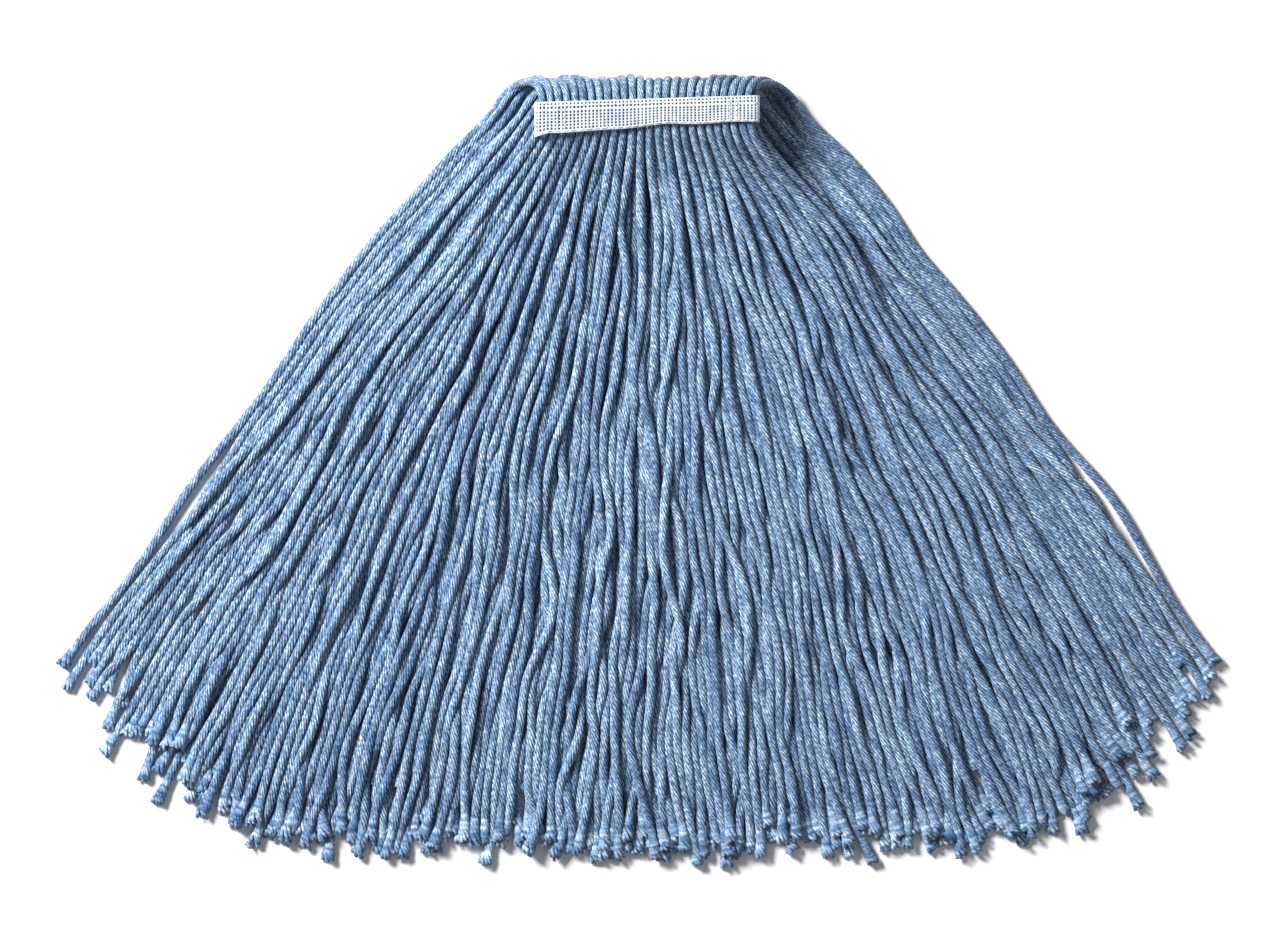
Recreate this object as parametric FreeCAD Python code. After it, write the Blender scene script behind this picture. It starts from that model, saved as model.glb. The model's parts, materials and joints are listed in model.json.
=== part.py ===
"""Cut-end string mop head, folded in half at its sewn headband and lying on its back half.

The head is a flat bundle of loose yarn strands, sewn together across its middle by a mesh tape.
Each strand runs tip to tip: a front tail, the stretch inside the tape, a loop over the fold, and
a back tail. The strands are modelled in those stretches, because the head opens at the fold.

Millimetres, +Z up. X runs along the headband, the tails run towards -Y, and the back half lies
on the plane Z = 0. The finished part is moved so that the origin is the centre of its footprint.
"""
import FreeCAD, Part
import math
import os

VEC = FreeCAD.Vector

# The yarn and how it is counted.
YARN_D = 4.2                     # firm diameter of one strand, pressed round
STRAND_GAP = 0.4                 # air between two strands
PITCH = YARN_D + STRAND_GAP      # least distance between two centre lines
COLUMNS = 26                     # strands side by side along the headband
LAYERS = 5                       # strands on top of each other in each half
LENGTH_SPREAD = 0.012            # cut ends are uneven by this share of a tail's length
CORNER_GAIN = 0.07               # tails towards the two lower corners are longer by this share
CORNER_POWER = 2.6               # how near the corners lie to the fan's edges
SPREAD_BY_COLUMN = 2.4           # radians of the cut's unevenness from one column to the next
SPREAD_BY_LAYER = 1.7            # radians of it from one layer to the next

# The headband: a mesh tape wrapped round the flat bundle and sewn through.
BAND_WIDTH = 20.0
TAPE = 1.4
CLEARANCE = 0.3
COLUMN_PITCH = 5.2               # strand to strand inside the tape
TAPE_END_RADIUS = 4.0
BUNDLE_HALF = (COLUMNS - 1) / 2 * COLUMN_PITCH + COLUMN_PITCH / 4 + YARN_D / 2
TAPE_INNER_HALF = BUNDLE_HALF + 4 * CLEARANCE
TAPE_OUTER_HALF = TAPE_INNER_HALF + TAPE

# The sewing: short stitches sunk in grooves of the tape, so that its faces stay flat.
STITCH_LONG = 4.2
STITCH_WIDE = 0.8
STITCH_DEEP = 0.55
GROOVE_WIDE = 1.2
GROOVE_DEEP = 0.7
ROW_Y = 7.0                      # the two long rows lie this far each side of the middle
TACK_X = (52.5, 57.0)            # two short cross rows near each end
ROW_END = 62.0

# The fold, where the head opens.
HOLLOW = 6.0                     # room inside the fold for a handle's bar
FOLD_START_Y = 2.8               # a loop starts here, inside the tape
BEND_ROOM = 0.8                  # extra room where the lowest strands bend over the tape's edge
FOLD_CLEAR_Y = BAND_WIDTH / 2 + BEND_ROOM + YARN_D / 2
FOLD_END_Y = 2.8                 # and ends here, where a back tail starts
HINGE_Y = 11.3
CORNER = 0.45                    # share of the shorter run that a rounded corner takes

# The fans of tails, one in the front half and two in the back half, where the outer layers come
# from the widest loops and spread wider. Each has its layers and their places across a column at
# the tips, the angle of the outermost tail, how much of its angle a tail loses towards its tip
# (at the middle and at the edge), the column pitch, a straight lead between two places along Y,
# the length from there on, and a slow sway.
FRONT = dict(layers=(0, 1, 2, 3, 4), slots=(0, 1, -1, 2, -2), angle=34.0,
             droop_mid=0.52, droop_edge=0.18, pitch=COLUMN_PITCH, lead_y=FOLD_START_Y,
             start_y=-11.3, length=462.0, sway=2.5, wave=210.0, phase=0.6)
BACK_INNER = dict(layers=(0, 1, 2), slots=(0, 1, -1), angle=40.0,
                  droop_mid=0.50, droop_edge=0.13, pitch=5.9, lead_y=FOLD_END_Y,
                  start_y=-6.0, length=462.0, sway=2.0, wave=250.0, phase=2.1)
BACK_OUTER = dict(layers=(3, 4), slots=(0.5, -0.5), angle=44.5,
                  droop_mid=0.50, droop_edge=0.29, pitch=7.5, lead_y=FOLD_END_Y,
                  start_y=-6.0, length=438.0, sway=2.0, wave=250.0, phase=2.1)
# The route points along a tail, as shares of its length.
STATIONS = (0, 0.043, 0.108, 0.206, 0.325, 0.444, 0.563, 0.68, 0.793, 0.899, 1)
THINNEST_STEP = 0.6              # layers never come closer in height than this
SETTLE = 20.0                    # the front half's height follows the back half this far behind
HOLLOW_CLOSES = 220.0            # the halves meet this far below the headband
STEP = 5.0                       # step along a tail when its course is added up


def course(tails, u, length):
    """Plan view of a column's middle line: list of (s, x, y, angle) every STEP along it."""
    rows = []
    s, x, y = 0.0, u * (COLUMNS - 1) / 2 * tails["pitch"], tails["start_y"]
    while s <= length + STEP:
        droop = tails["droop_mid"] + (tails["droop_edge"] - tails["droop_mid"]) * abs(u)
        fan = tails["angle"] * u * (1 - droop * s / tails["length"])
        sway = tails["sway"] * math.sin(2 * math.pi * s / tails["wave"] + tails["phase"])
        angle = math.radians(fan + sway * min(1.0, s / SETTLE))
        rows.append((s, x, y, angle))
        x += STEP * math.sin(angle)
        y -= STEP * math.cos(angle)
        s += STEP
    return rows


def at(rows, s):
    """The (x, y, angle) of a course at distance s along it."""
    k = min(int(s / STEP), len(rows) - 2)
    f = s / STEP - k
    return [a + f * (b - a) for a, b in zip(rows[k][1:], rows[k + 1][1:])]


def column_space(tails, s):
    """Least distance between two neighbouring columns, square to them, at distance s."""
    fan = math.radians(tails["angle"])
    turn = fan * 2 / (COLUMNS - 1)
    middle_loss = tails["droop_mid"]
    edge_loss = 2 * tails["droop_edge"] - tails["droop_mid"]
    middle = tails["pitch"] + turn * (s - middle_loss * s * s / (2 * tails["length"]))
    edge = tails["pitch"] * math.cos(fan) + turn * (s - edge_loss * s * s / (2 * tails["length"]))
    return min(middle, edge)


def opened(tails, s):
    """How far the fan has opened at distance s: 0 at the headband, 1 at the tips."""
    start = column_space(tails, 0)
    return (column_space(tails, s) - start) / (column_space(tails, tails["length"]) - start)


def sideways(tails, layer, s, start_cos):
    """A layer's offset across its column: staggered at the headband, in a row at the tips."""
    stagger = tails["pitch"] / 4 * (1 if layer % 2 else -1) * start_cos
    slot = tails["slots"][tails["layers"].index(layer)]
    slot *= column_space(tails, tails["length"]) / len(tails["layers"])
    share = opened(tails, s)
    return (1 - share) * stagger + share * slot


def layer_step(tails, s):
    """Height from one layer to the next, just enough to keep staggered strands apart."""
    start_cos = math.cos(math.radians(tails["angle"]))
    place = [sideways(tails, layer, s, start_cos) for layer in tails["layers"]]
    space = column_space(tails, s)
    step = THINNEST_STEP
    for low in range(len(place)):
        for high in range(low + 1, len(place)):
            for neighbour in (-space, 0.0, space):
                apart = place[high] - place[low] + neighbour
                needed = math.sqrt(max(0.0, PITCH ** 2 - apart ** 2)) / (high - low)
                step = max(step, needed)
    return step


def back_height(layer, s):
    """Height of a back tail: the outermost layer lies on the floor, the inner fan on the outer."""
    if layer in BACK_OUTER["layers"]:
        return YARN_D / 2 + (LAYERS - 1 - layer) * layer_step(BACK_OUTER, s)
    lowest = BACK_INNER["layers"][-1]
    return back_height(lowest + 1, s) + PITCH + (lowest - layer) * layer_step(BACK_INNER, s)


def front_base(s):
    """Height of the front half's lowest layer, over the back half and the hollow."""
    open_fold = (HOLLOW + TAPE + BEND_ROOM) * max(0.0, 1 - s / HOLLOW_CLOSES) ** 2
    return back_height(0, max(0.0, s - SETTLE)) + PITCH + 2 * CLEARANCE + open_fold


def front_height(layer, s):
    return front_base(s) + layer * layer_step(FRONT, s)


BAND_LOW = front_base(0) - YARN_D / 2 - BEND_ROOM - TAPE
BAND_HIGH = front_height(LAYERS - 1, 0) + YARN_D / 2 + CLEARANCE + TAPE


def tail_points(tails, height, column, layer):
    """Route of one tail: a straight lead, then the fan, to its cut end."""
    u = column / ((COLUMNS - 1) / 2) - 1
    uneven = math.sin(SPREAD_BY_COLUMN * column + SPREAD_BY_LAYER * layer)
    corner = CORNER_GAIN * math.sin(math.pi * abs(u) ** CORNER_POWER)
    length = tails["length"] * (1 + corner + LENGTH_SPREAD * uneven)
    rows = course(tails, u, length)
    start_cos = math.cos(math.radians(tails["angle"] * u))
    points = []
    for s in [share * length for share in STATIONS]:
        x, y, angle = at(rows, s)
        across = sideways(tails, layer, s, 1.0 if s == 0 else start_cos)
        lean = 0.0 if s == 0 else angle
        points.append(VEC(x + across * math.cos(lean), y + across * math.sin(lean),
                          height(layer, s)))
    return [VEC(points[0].x, tails["lead_y"], points[0].z)] + points


def front_points(column, layer):
    return tail_points(FRONT, front_height, column, layer)


def back_points(column, layer):
    fan = BACK_OUTER if layer in BACK_OUTER["layers"] else BACK_INNER
    return tail_points(fan, back_height, column, layer)


def fold_points(column, layer):
    """Route of one loop, from inside the tape, over the fold, to the back tail's start."""
    start = front_points(column, layer)[0]
    end = back_points(column, layer)[0]
    crest = FOLD_CLEAR_Y + layer * PITCH
    return [start, VEC(start.x, crest, start.z), VEC(end.x, crest, end.z), end]


def rounded_wire(points, radii):
    """Straight runs joined by tangent arcs, each as large as its two runs allow."""
    edges = []
    last = points[0]
    for before, corner, after in zip(points, points[1:], points[2:]):
        inward, outward = (before - corner), (after - corner)
        turn = math.pi - inward.getAngle(outward)
        reach = CORNER * min(inward.Length, outward.Length)
        radii.append(reach / math.tan(turn / 2))
        inward.normalize()
        outward.normalize()
        enter, leave = corner + inward * reach, corner + outward * reach
        edges.append(Part.LineSegment(last, enter).toShape())
        edges.append(Part.Arc(enter, arc_middle(corner, enter, leave, turn), leave).toShape())
        last = leave
    edges.append(Part.LineSegment(last, points[-1]).toShape())
    return Part.Wire(edges)


def arc_middle(corner, enter, leave, turn):
    """Middle point of the arc that is tangent to both runs at enter and leave."""
    chord = (enter + leave) * 0.5
    half_chord = enter.distanceToPoint(leave) / 2
    towards = corner - chord
    towards.normalize()
    return chord + towards * (half_chord * math.tan(turn / 4))


def tube(points, radii, volumes):
    wire = rounded_wire(points, radii)
    ring = Part.Wire(Part.makeCircle(YARN_D / 2, points[0], points[1] - points[0]))
    solid = Part.Solid(wire.makePipeShell([ring], True, False))
    volumes.append(solid.Volume / (math.pi * YARN_D ** 2 / 4 * wire.Length))
    return solid


def strand_layers(name, points_of, radii, volumes):
    """One node per layer, each a group of separate strand stretches."""
    nodes = {}
    for layer in range(LAYERS):
        tubes = [tube(points_of(column, layer), radii, volumes) for column in range(COLUMNS)]
        nodes["%s_layer_%d" % (name, layer + 1)] = Part.makeCompound(tubes)
    return nodes


def block(low, high):
    return Part.makeBox(high[0] - low[0], high[1] - low[1], high[2] - low[2], VEC(*low))


def along_y(shape, radius):
    """Round the edges that run along Y."""
    edges = [e for e in shape.Edges if abs(e.Vertexes[0].Y - e.Vertexes[-1].Y) > BAND_WIDTH / 2]
    return shape.makeFillet(radius, edges)


def sewn_lines():
    """Every line of stitches as (name, start, end), seen from above."""
    lines = [("stitch_row_upper", (-ROW_END, ROW_Y), (ROW_END, ROW_Y)),
             ("stitch_row_lower", (-ROW_END, -ROW_Y), (ROW_END, -ROW_Y))]
    for side, name in ((-1, "end_tacks_left"), (1, "end_tacks_right")):
        for x in TACK_X:
            lines.append((name, (side * x, -ROW_Y + GROOVE_WIDE), (side * x, ROW_Y - GROOVE_WIDE)))
    return lines


def strip(start, end, wide, low, high):
    """A bar of the given width from start to end, between two heights."""
    half = wide / 2
    sx, sy = (0, half) if start[1] == end[1] else (half, 0)
    return block((start[0] - sx, start[1] - sy, low), (end[0] + sx, end[1] + sy, high))


def headband_tape():
    half_y = BAND_WIDTH / 2
    outer = block((-TAPE_OUTER_HALF, -half_y, BAND_LOW), (TAPE_OUTER_HALF, half_y, BAND_HIGH))
    inner = block((-TAPE_INNER_HALF, -BAND_WIDTH, BAND_LOW + TAPE),
                  (TAPE_INNER_HALF, BAND_WIDTH, BAND_HIGH - TAPE))
    tape = along_y(outer, TAPE_END_RADIUS).cut(along_y(inner, TAPE_END_RADIUS - TAPE))
    for _, start, end in sewn_lines():
        tape = tape.cut(strip(start, end, GROOVE_WIDE, BAND_HIGH - GROOVE_DEEP, BAND_HIGH + TAPE))
        tape = tape.cut(strip(start, end, GROOVE_WIDE, BAND_LOW - TAPE, BAND_LOW + GROOVE_DEEP))
    return tape


def stitches():
    """The four sewing nodes: short threads in the grooves, on both faces of the tape."""
    nodes = {}
    for name, start, end in sewn_lines():
        reach = VEC(end[0] - start[0], end[1] - start[1], 0)
        count = int(reach.Length / (STITCH_LONG + 2 * CLEARANCE))
        space = reach * (1.0 / count)
        arm = reach * (STITCH_LONG / 2 / reach.Length)
        for k in range(count):
            middle = VEC(start[0], start[1], 0) + space * (k + 0.5)
            a, b = middle - arm, middle + arm
            for low in (BAND_HIGH - GROOVE_DEEP, BAND_LOW + GROOVE_DEEP - STITCH_DEEP):
                piece = strip((a.x, a.y), (b.x, b.y), STITCH_WIDE, low, low + STITCH_DEEP)
                nodes.setdefault(name, []).append(piece)
    return {name: Part.makeCompound(pieces) for name, pieces in nodes.items()}


def build():
    radii, volumes = [], []
    nodes = {"headband_tape": headband_tape()}
    nodes.update(stitches())
    nodes.update(strand_layers("front_strands", front_points, radii, volumes))
    nodes.update(strand_layers("fold_loops", fold_points, radii, volumes))
    nodes.update(strand_layers("back_strands", back_points, radii, volumes))
    print("least bend radius %.1f, volume against section x length %.4f to %.4f"
          % (min(radii), min(volumes), max(volumes)))
    return nodes


def place_and_write(nodes):
    """Move the origin to the centre of the footprint, then write one STEP file per node."""
    box = Part.makeCompound(list(nodes.values())).optimalBoundingBox(False, False)
    shift = VEC(-box.Center.x, -box.Center.y, -box.ZMin)
    os.makedirs("parts", exist_ok=True)
    for name, shape in nodes.items():
        shape.translate(shift)
        shape.exportStep("parts/%s.step" % name)
    print("size %.2f x %.2f x %.2f" % (box.XLength, box.YLength, box.ZLength))
    print("shift %.4f %.4f %.4f" % (shift.x, shift.y, shift.z))
    hinge = VEC(0, HINGE_Y, BAND_HIGH / 2) + shift
    print("hinge y %.4f z %.4f" % (hinge.y, hinge.z))
    print("headband face y %.4f z %.4f, lower face z %.4f"
          % (shift.y, BAND_HIGH + shift.z, BAND_LOW + shift.z))
    print("back half's top under the band z %.4f" % (back_height(0, 0) + YARN_D / 2 + shift.z))
    solids = sum(len(shape.Solids) for shape in nodes.values())
    print("%d nodes, %d solids" % (len(nodes), solids))


place_and_write(build())
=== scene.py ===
"""Cut-end string mop head: plied light-blue yarn, folded at its white mesh headband.

Metres. The routes below are written about the middle of the headband, with the floor at z = 0,
and placed by the frame's headband_face mount.
"""
import json
import math

import bpy
import numpy as np
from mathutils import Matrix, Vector


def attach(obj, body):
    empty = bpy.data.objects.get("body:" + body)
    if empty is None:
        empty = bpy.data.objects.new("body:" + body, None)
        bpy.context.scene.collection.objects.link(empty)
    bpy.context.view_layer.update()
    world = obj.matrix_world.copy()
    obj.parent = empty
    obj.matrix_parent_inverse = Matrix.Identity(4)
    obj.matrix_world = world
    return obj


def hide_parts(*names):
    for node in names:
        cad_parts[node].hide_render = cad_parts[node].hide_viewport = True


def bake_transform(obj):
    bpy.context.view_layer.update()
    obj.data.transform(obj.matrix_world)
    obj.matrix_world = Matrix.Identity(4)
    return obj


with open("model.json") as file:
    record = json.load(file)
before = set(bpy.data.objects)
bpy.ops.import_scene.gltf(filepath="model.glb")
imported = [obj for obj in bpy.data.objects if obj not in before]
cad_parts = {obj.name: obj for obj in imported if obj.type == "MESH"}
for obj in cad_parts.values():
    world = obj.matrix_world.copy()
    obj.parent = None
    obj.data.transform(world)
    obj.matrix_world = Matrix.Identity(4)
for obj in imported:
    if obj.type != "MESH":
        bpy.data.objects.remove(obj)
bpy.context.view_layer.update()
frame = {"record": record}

MM = 0.001
MOUNT = frame["record"]["mounts"][0]["pos_m"]
ORIGIN = np.array([MOUNT[0], MOUNT[1], 0.0])
BODY_FRONT = "front_half"
BODY_BACK = "back_half"

# The yarn as it is laid out: the same routes as the solids it stands for.
COLUMNS = 26
LAYERS = 5
PRESSED_D = 4.2 * MM             # a strand pressed by the sewing
PITCH = 4.6 * MM
LENGTH_SPREAD = 0.012
CORNER_GAIN = 0.07
CORNER_POWER = 2.6
BAND_WIDTH = 20.0 * MM
TAPE = 1.4 * MM
HOLLOW = 6.0 * MM
BEND_ROOM = 0.8 * MM
LEAD_Y = 2.8 * MM                # a loop starts and ends here, inside the tape
FRONT = dict(layers=(0, 1, 2, 3, 4), slots=(0, 1, -1, 2, -2), angle=34.0, droop_mid=0.52,
             droop_edge=0.18, pitch=5.2 * MM, start_y=-11.3 * MM, length=462 * MM,
             sway=2.5, wave=210 * MM, phase=0.6)
BACK_INNER = dict(layers=(0, 1, 2), slots=(0, 1, -1), angle=40.0, droop_mid=0.50,
                  droop_edge=0.13, pitch=5.9 * MM, start_y=-6.0 * MM, length=462 * MM,
                  sway=2.0, wave=250 * MM, phase=2.1)
BACK_OUTER = dict(layers=(3, 4), slots=(0.5, -0.5), angle=44.5, droop_mid=0.50,
                  droop_edge=0.29, pitch=7.5 * MM, start_y=-6.0 * MM, length=438 * MM,
                  sway=2.0, wave=250 * MM, phase=2.1)
STATIONS = (0, 0.043, 0.108, 0.206, 0.325, 0.444, 0.563, 0.68, 0.793, 0.899, 1)
THINNEST_STEP = 0.6 * MM
SETTLE = 20 * MM
HOLLOW_CLOSES = 220 * MM
STEP = 5 * MM

# The yarn as it looks.
YARN_R = 2.9 * MM                # a free strand's radius
PRESSED_R = 2.1 * MM
FULL_BY = 35 * MM                # a strand has its free radius this far from its loop
PLUMP = np.array([0.15, 0.15, 0.2, 0.35, 0.6]) * MM  # thicker over the fold, by layer
PLIES = 8
PER_PLY = 3                      # points round each ply
TWIST = 33 * MM                  # length of one turn of the plies
RING_STEP = 3.3 * MM             # the fibres' scale along a strand, for each ring
PLY_PROFILE = (0.76, 0.99, 0.99)  # radius at a groove and at the two sides of a crest
PLY_GROOVE_SHADE = (0.0, 1.0, 1.0)     # painted shade in the grooves between plies, 0 is darkest
PAINTED_FLANK_SHADE = 0.40                # painted shade on a strand's flanks, where it lies against its neighbours
SHADE_RISE = 0.62
TAIL_RINGS = 140
LOOP_RINGS = 24
LOOP_FIRST = TAIL_RINGS - 1      # the rings of a whole strand where its loop begins and ends
LOOP_LAST = TAIL_RINGS + LOOP_RINGS - 2
CREST_STEP = 2.1 * MM            # from one layer's crest over the fold to the next
PUFF = 0.9 * MM                  # spread of the crests of one layer
MOST_PUFF = 1.5 * MM
UNEVEN_ENDS = 5.5 * MM           # spread of the tails' lengths
SIDE_SHORTER = 6 * MM            # tails between the middle and the edges are this much shorter
CORDS = 40                       # tails made each a piece of their own
HALF = COLUMNS * LAYERS          # tails on one side of the fold
TONE_SHIFT = 97.0                # gives each strand fibres of its own
SEED = 7

# A cut end, where the plies come apart.
SPLAY_RINGS = 6
BODY_RINGS = TAIL_RINGS - 3      # the strand's own surface stops inside its splayed plies
PLY_R = 1.1 * MM
PLY_SIDES = 6
PLY_START = 0.62                 # the plies' distance from the middle, in yarn radii
PLY_OPENS = 0.86                 # how much further a wide open ply ends
LEAST_OPEN = 0.35
PLY_STRAYS = 0.25                # radians
PLY_SHORTER = 2.2 * MM
PLY_LONGER = 1.2 * MM

# How far the tails lie outside their firm routes before they settle.
MOST_LOOSE = 10 * MM             # while they settle, none lies further from its own, in plan
FRONT_SWING = 0.8 * MOST_LOOSE
SWING_GROWTH = 80 * MM
BACK_SWING = 0.95 * MOST_LOOSE
SHOULDER = 130 * MM              # the outermost back tails lie outside theirs up to here,
EDGE_PULL = 1.65                 # and inside them further on
EDGE_POWER = 16
SLANT = 6.5 * MM                 # the outermost back tails already slant this much at their start

# The waves of a tail.
OWN_WAVES = ((230 * MM, 3.0 * MM), (140 * MM, 1.9 * MM), (75 * MM, 0.8 * MM))  # length, size
SHARED_WAVE = 2.2 * MM           # a wave that neighbours share
SHARED_ACROSS = 17 * MM
SHARED_ALONG = 90 * MM
WAVE_START = 14 * MM
WAVE_GROWTH = 65 * MM
MIDDLE_WAVES = 1.15              # the waves' share in the middle of the fan
EDGE_CALM = 0.75                 # and how much of it is lost at the edges
LOOSE_END = 75 * MM              # length of the stretch that strays at a tail's end
END_STRAY = 5 * MM
RISE_WAVE = 210 * MM
MOST_RISE = 7 * MM

# Settling.
PLAN_POINTS = 96                 # points of a tail while it settles
ROUNDS = 170
PAIRS_EVERY = 8                  # rounds from one search for near points to the next
PAIR_MARGIN = 0.8 * MM
SEWN = 16 * MM                   # a tail stays put up to here
SWELL_BY = 110 * MM              # and takes its full room from here
SINK = 0.13 * MM                 # each round
PUSH = 0.36                      # share of an overlap that one round undoes, for each tail
DRIFT_SMOOTH = 0.30
DRIFT_KEPT = 0.995
SOFTEN_PLAN = 2
SOFTEN_RINGS = 3
LEAST = 1e-6                     # metres, so that nothing is divided by zero


def linked(name, data):
    """A new object in the scene."""
    piece = bpy.data.objects.new(name, data)
    bpy.context.scene.collection.objects.link(piece)
    return piece


# ---------------------------------------------------------------- routes

def course(fan, u, length):
    """Plan view of a column: arrays of x, y and angle, one every STEP."""
    s = np.arange(0, length + 2 * STEP, STEP)
    droop = fan["droop_mid"] + (fan["droop_edge"] - fan["droop_mid"]) * abs(u)
    angle = fan["angle"] * u * (1 - droop * s / fan["length"])
    sway = fan["sway"] * np.sin(2 * math.pi * s / fan["wave"] + fan["phase"])
    angle = np.radians(angle + sway * np.minimum(1, s / SETTLE))
    x = u * (COLUMNS - 1) / 2 * fan["pitch"] + STEP * np.cumsum(np.append(0, np.sin(angle[:-1])))
    y = fan["start_y"] - STEP * np.cumsum(np.append(0, np.cos(angle[:-1])))
    return s, x, y, angle


def column_space(fan, s):
    """Least distance between neighbouring columns at distance s."""
    spread = math.radians(fan["angle"])
    turn = spread * 2 / (COLUMNS - 1)
    middle_loss = fan["droop_mid"]
    edge_loss = 2 * fan["droop_edge"] - fan["droop_mid"]
    middle = fan["pitch"] + turn * (s - middle_loss * s * s / (2 * fan["length"]))
    edge = (fan["pitch"] * math.cos(spread)
            + turn * (s - edge_loss * s * s / (2 * fan["length"])))
    return min(middle, edge)


def opened(fan, s):
    """How far a fan has opened at distance s: 0 at the headband, 1 at the tips."""
    start = column_space(fan, 0)
    return (column_space(fan, s) - start) / (column_space(fan, fan["length"]) - start)


def sideways(fan, layer, s, start_cos):
    """A layer's offset across its column."""
    stagger = fan["pitch"] / 4 * (1 if layer % 2 else -1) * start_cos
    slot = fan["slots"][fan["layers"].index(layer)]
    slot *= column_space(fan, fan["length"]) / len(fan["layers"])
    return (1 - opened(fan, s)) * stagger + opened(fan, s) * slot


def layer_step(fan, s):
    """Height from one layer to the next."""
    start_cos = math.cos(math.radians(fan["angle"]))
    place = [sideways(fan, layer, s, start_cos) for layer in fan["layers"]]
    space = column_space(fan, s)
    step = THINNEST_STEP
    for low in range(len(place)):
        for high in range(low + 1, len(place)):
            for neighbour in (-space, 0.0, space):
                apart = place[high] - place[low] + neighbour
                step = max(step, math.sqrt(max(0.0, PITCH ** 2 - apart ** 2)) / (high - low))
    return step


def back_height(layer, s):
    if layer in BACK_OUTER["layers"]:
        return PRESSED_D / 2 + (LAYERS - 1 - layer) * layer_step(BACK_OUTER, s)
    lowest = BACK_INNER["layers"][-1]
    return back_height(lowest + 1, s) + PITCH + (lowest - layer) * layer_step(BACK_INNER, s)


def front_height(layer, s):
    open_fold = (HOLLOW + TAPE + BEND_ROOM) * max(0.0, 1 - s / HOLLOW_CLOSES) ** 2
    base = back_height(0, max(0.0, s - SETTLE)) + PITCH + 0.6 * MM + open_fold
    return base + layer * layer_step(FRONT, s)


BAND_LOW = front_height(0, 0) - PRESSED_D / 2 - BEND_ROOM - TAPE
BAND_HIGH = front_height(LAYERS - 1, 0) + PRESSED_D / 2 + 0.3 * MM + TAPE


def column_place(column):
    """-1 for the leftmost column, 1 for the rightmost."""
    return column / ((COLUMNS - 1) / 2) - 1


def swing(fan, u, s):
    """How far a tail lies outside its firm route: the shoulders, and the columns near the edge."""
    if fan is FRONT:
        return FRONT_SWING * u * min(1.0, s / SWING_GROWTH)
    if fan is BACK_INNER:
        return BACK_SWING * u
    shoulder = 1 - s / SHOULDER
    edge_pulled_in = 1 - EDGE_PULL * abs(u) ** EDGE_POWER
    return BACK_SWING * u * max(shoulder, edge_pulled_in)


def tail_route(front, column, layer, extra, loose):
    """Route of one tail from inside the tape to its cut end. Loose is 0 for the firm route."""
    fan = FRONT if front else BACK_OUTER if layer in BACK_OUTER["layers"] else BACK_INNER
    height = front_height if front else back_height
    u = column_place(column)
    corner = CORNER_GAIN * math.sin(math.pi * abs(u) ** CORNER_POWER)
    uneven = LENGTH_SPREAD * math.sin(2.4 * column + 1.7 * layer)
    length = fan["length"] * (1 + corner + uneven) + extra
    s_line, x_line, y_line, angle_line = course(fan, u, length)
    start_cos = math.cos(math.radians(fan["angle"] * u))
    points = []
    for s in [share * length for share in STATIONS]:
        x, y, angle = (np.interp(s, s_line, line) for line in (x_line, y_line, angle_line))
        across = sideways(fan, layer, s, 1.0 if s == 0 else start_cos)
        lean = 0.0 if s == 0 else angle
        points.append((x + across * math.cos(lean) + loose * swing(fan, u, s),
                       y + across * math.sin(lean), height(layer, s)))
    slant = 0.0 if front else loose * SLANT * u
    return [(points[0][0] - slant, LEAD_Y, points[0][2])] + points


def loop_route(column, layer, front_start, back_start, puff):
    """Route of one loop over the fold. The outer loops are pressed closer than their solids."""
    u = column_place(column)
    crest = BAND_WIDTH / 2 + BEND_ROOM + PRESSED_D / 2 + layer * CREST_STEP + puff
    slant = SLANT * u * (crest - LEAD_Y) / (LEAD_Y - BACK_OUTER["start_y"])
    return [front_start, (front_start[0], crest, front_start[2]),
            (back_start[0] - slant * 0.8, crest, back_start[2]), back_start]


def smooth_lines(routes):
    """The NURBS curves of several routes with the same number of points: (routes, points, 3)."""
    data = bpy.data.curves.new("routes", "CURVE")
    data.dimensions = "3D"
    data.resolution_u = 10
    for route in routes:
        spline = data.splines.new("NURBS")
        spline.points.add(len(route) - 1)
        spline.points.foreach_set("co", [c for p in route for c in (*p, 1.0)])
        spline.order_u = 3
        spline.use_endpoint_u = True
    holder = bpy.data.objects.new("routes", data)
    mesh = bpy.data.meshes.new_from_object(holder)
    points = np.empty(len(mesh.vertices) * 3)
    mesh.vertices.foreach_get("co", points)
    bpy.data.objects.remove(holder)
    bpy.data.curves.remove(data)
    bpy.data.meshes.remove(mesh)
    return points.reshape(len(routes), -1, 3)


def arc_lengths(lines):
    steps = np.linalg.norm(np.diff(lines, axis=1), axis=2)
    return np.concatenate([np.zeros((len(lines), 1)), np.cumsum(steps, axis=1)], axis=1)


def even(lines, count):
    """Each line again with evenly spaced points."""
    lengths = arc_lengths(lines)
    out = np.empty((len(lines), count, 3))
    for k, line in enumerate(lines):
        wanted = np.linspace(0, lengths[k, -1], count)
        for axis in range(3):
            out[k, :, axis] = np.interp(wanted, lengths[k], line[:, axis])
    return out


def soften(lines, rounds):
    """Average each inner point with its neighbours, the ends stay."""
    for _ in range(rounds):
        lines[:, 1:-1] = 0.25 * (lines[:, :-2] + lines[:, 2:]) + 0.5 * lines[:, 1:-1]
    return lines


# ---------------------------------------------------------------- settling

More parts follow.
